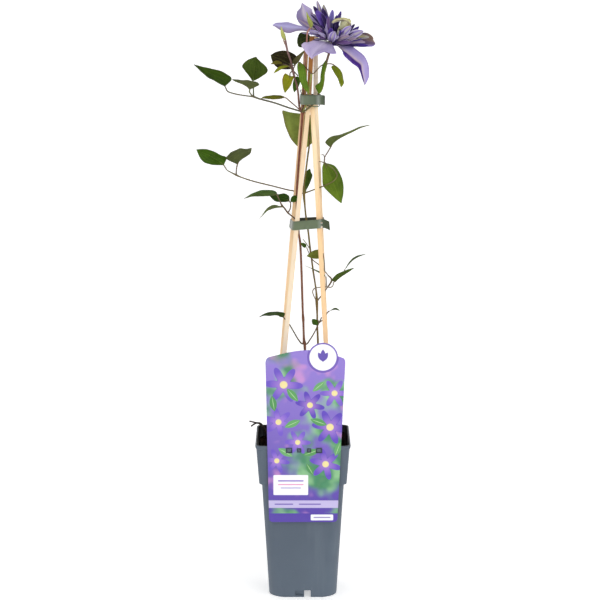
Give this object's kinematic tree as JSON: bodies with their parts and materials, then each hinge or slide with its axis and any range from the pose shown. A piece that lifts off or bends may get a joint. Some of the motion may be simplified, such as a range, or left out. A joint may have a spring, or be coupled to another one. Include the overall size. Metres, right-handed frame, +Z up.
{
  "type": "potted clematis",
  "caption": "Young climbing clematis in a square nursery pot, on leaning pine sticks held by straps, with a double violet bloom, buds, stalked leaves and a hanging card.",
  "frame": {"origin": "middle of the pot's foot, on the surface that it stands on", "axes": "+Z up along the sticks, +X to the right and -Y towards the viewer of the card"},
  "size_m": [0.2062, 0.1164, 0.6862],
  "materials": {
    "pot_plastic": "smooth blue-grey injection-moulded plastic, soft sheen",
    "soil": "dark lumpy potting mix",
    "pine": "planed pale pine",
    "strap_plastic": "grey-green soft plastic strap",
    "tie_wire": "green plastic-coated wire",
    "card": "printed plastic card, satin",
    "stem_brown": "red-brown stem bark",
    "stem_olive": "olive-green to brown stem bark",
    "leaf": "green leaf, satin above and duller below",
    "bud": "yellow-green downy bud",
    "bloom": "violet-blue petals with pale bars"
  },
  "bodies": {
    "root": {"pot": "pot_plastic", "soil": "soil", "stick_front_left": "pine", "stick_back_left": "pine", "stick_front_right": "pine", "stick_back_right": "pine", "strap_lower": "strap_plastic", "strap_upper": "strap_plastic", "tie_wire": "tie_wire", "label_card": "card", "stem_a": "stem_brown", "stem_b": "stem_olive", "bud_left": "bud", "bud_top": "bud", "leaf_01": "leaf", "leaf_02": "leaf", "leaf_03": "leaf", "leaf_04": "leaf", "leaf_05": "leaf", "leaf_06": "leaf", "leaf_07": "leaf", "leaf_08": "leaf", "leaf_09": "leaf", "leaf_10": "leaf", "leaf_11": "leaf", "leaf_12": "leaf", "leaf_13": "leaf", "leaf_14": "leaf", "leaf_15": "leaf", "leaf_16": "leaf", "leaf_17": "leaf", "leaf_18": "leaf", "leaf_19": "leaf", "leaf_20": "leaf", "leaf_21": "leaf", "leaf_22": "leaf", "leaf_23": "leaf", "leaf_24": "leaf", "leaf_25": "leaf", "leaf_26": "leaf", "leaf_27": "leaf", "leaf_28": "leaf", "leaf_29": "leaf", "leaf_30": "leaf", "leaf_31": "leaf", "leaf_32": "leaf", "bloom": "bloom"}
  },
  "joints": []
}
